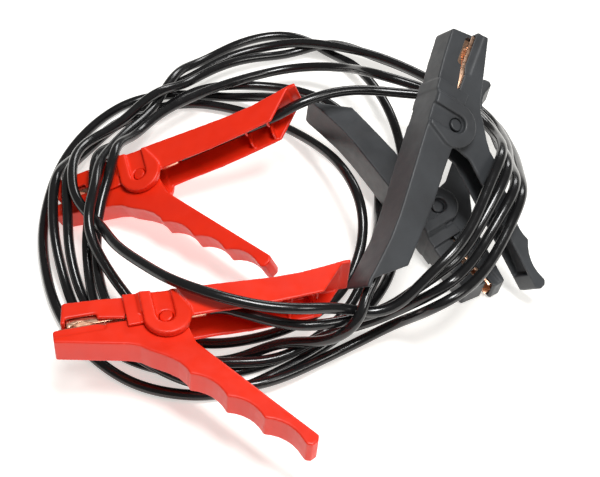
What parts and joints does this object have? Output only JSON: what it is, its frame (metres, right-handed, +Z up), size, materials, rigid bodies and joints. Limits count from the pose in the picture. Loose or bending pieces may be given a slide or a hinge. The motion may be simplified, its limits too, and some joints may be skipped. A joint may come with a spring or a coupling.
{
  "type": "vehicle jumper lead set",
  "caption": "Vehicle jumper leads: black cables in a loose coil with red and black sprung battery clamps that have copper jaws.",
  "frame": {"origin": "on the resting surface, under the middle of the box that holds the clamps", "axes": "+Z up from the resting surface; +X to the right and +Y away, as seen from the side where the first red clamp lies nearest"},
  "size_m": [0.2945, 0.352, 0.1211],
  "materials": {
    "red_plastic": "satin moulded plastic",
    "charcoal_plastic": "fine matt texture",
    "cable_pvc": "glossy PVC",
    "copper_sheet": "copper-coated sheet, light wear",
    "spring_steel": "drawn wire"
  },
  "bodies": {
    "coil_and_upper_handles": {"red_front_upper_handle": "red_plastic", "red_front_upper_jaw": "copper_sheet", "red_front_spring": "spring_steel", "red_front_core": "copper_sheet", "red_rear_upper_handle": "red_plastic", "red_rear_upper_jaw": "copper_sheet", "red_rear_spring": "spring_steel", "red_rear_core": "copper_sheet", "black_top_upper_handle": "charcoal_plastic", "black_top_upper_jaw": "copper_sheet", "black_top_spring": "spring_steel", "black_top_core": "copper_sheet", "black_under_upper_handle": "charcoal_plastic", "black_under_upper_jaw": "copper_sheet", "black_under_spring": "spring_steel", "black_under_core": "copper_sheet", "red_lead": "cable_pvc", "black_lead": "cable_pvc"},
    "red_front_squeeze_half": {"red_front_lower_handle": "red_plastic", "red_front_lower_jaw": "copper_sheet"},
    "red_rear_squeeze_half": {"red_rear_lower_handle": "red_plastic", "red_rear_lower_jaw": "copper_sheet"},
    "black_top_squeeze_half": {"black_top_lower_handle": "charcoal_plastic", "black_top_lower_jaw": "copper_sheet"},
    "black_under_squeeze_half": {"black_under_lower_handle": "charcoal_plastic", "black_under_lower_jaw": "copper_sheet"}
  },
  "joints": [
    {"name": "red_front_squeeze", "type": "hinge", "parent": "coil_and_upper_handles", "child": "red_front_squeeze_half", "pos_m": [-0.06434, -0.06281, 0.04354], "axis": [0.0656, 0.0217, 0.9976], "range_deg": [0, 32], "stiffness_Nm_per_rad": 1.5, "springref_deg": -28.65, "deforming": ["red_front_spring"]},
    {"name": "red_rear_squeeze", "type": "hinge", "parent": "coil_and_upper_handles", "child": "red_rear_squeeze_half", "pos_m": [-0.08634, 0.05599, 0.02634], "axis": [-0.2777, -0.2039, 0.9388], "range_deg": [0, 32], "stiffness_Nm_per_rad": 1.5, "springref_deg": -28.65, "deforming": ["red_rear_spring"]},
    {"name": "black_top_squeeze", "type": "hinge", "parent": "coil_and_upper_handles", "child": "black_top_squeeze_half", "pos_m": [0.08496, 0.04269, 0.08484], "axis": [-0.4519, 0.4945, -0.7425], "range_deg": [0, 32], "stiffness_Nm_per_rad": 1.5, "springref_deg": -28.65, "deforming": ["black_top_spring"]},
    {"name": "black_under_squeeze", "type": "hinge", "parent": "coil_and_upper_handles", "child": "black_under_squeeze_half", "pos_m": [0.08446, 0.03639, 0.01834], "axis": [0.0798, -0.1664, 0.9828], "range_deg": [0, 32], "stiffness_Nm_per_rad": 1.5, "springref_deg": -28.65, "deforming": ["black_under_spring"]}
  ]
}
